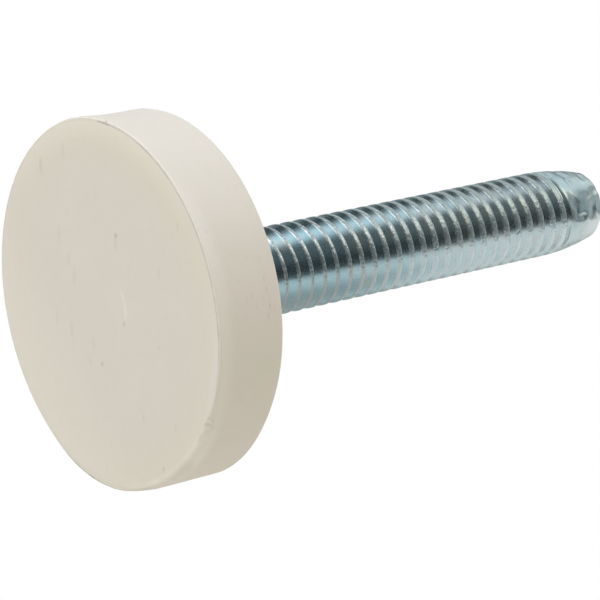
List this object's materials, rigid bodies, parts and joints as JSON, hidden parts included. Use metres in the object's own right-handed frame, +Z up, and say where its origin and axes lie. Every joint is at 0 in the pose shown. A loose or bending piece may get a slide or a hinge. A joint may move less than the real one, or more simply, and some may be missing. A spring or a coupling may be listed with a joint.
{
  "type": "leveling foot",
  "caption": "Leveling foot with a round moulded plastic base and a threaded steel stud that screws into a leg or frame to set its height.",
  "frame": {"origin": "centre of the base's underside, on the stud's axis", "axes": "+Z up along the stud, from the base towards the tip"},
  "size_m": [0.0318, 0.0318, 0.0541],
  "materials": {
    "cream_plastic": "matte moulded plastic, cream",
    "zinc_plated_steel": "bright zinc plating with a faint blue tint"
  },
  "bodies": {
    "root": {"base_disc": "cream_plastic", "threaded_stud": "zinc_plated_steel"}
  },
  "joints": []
}
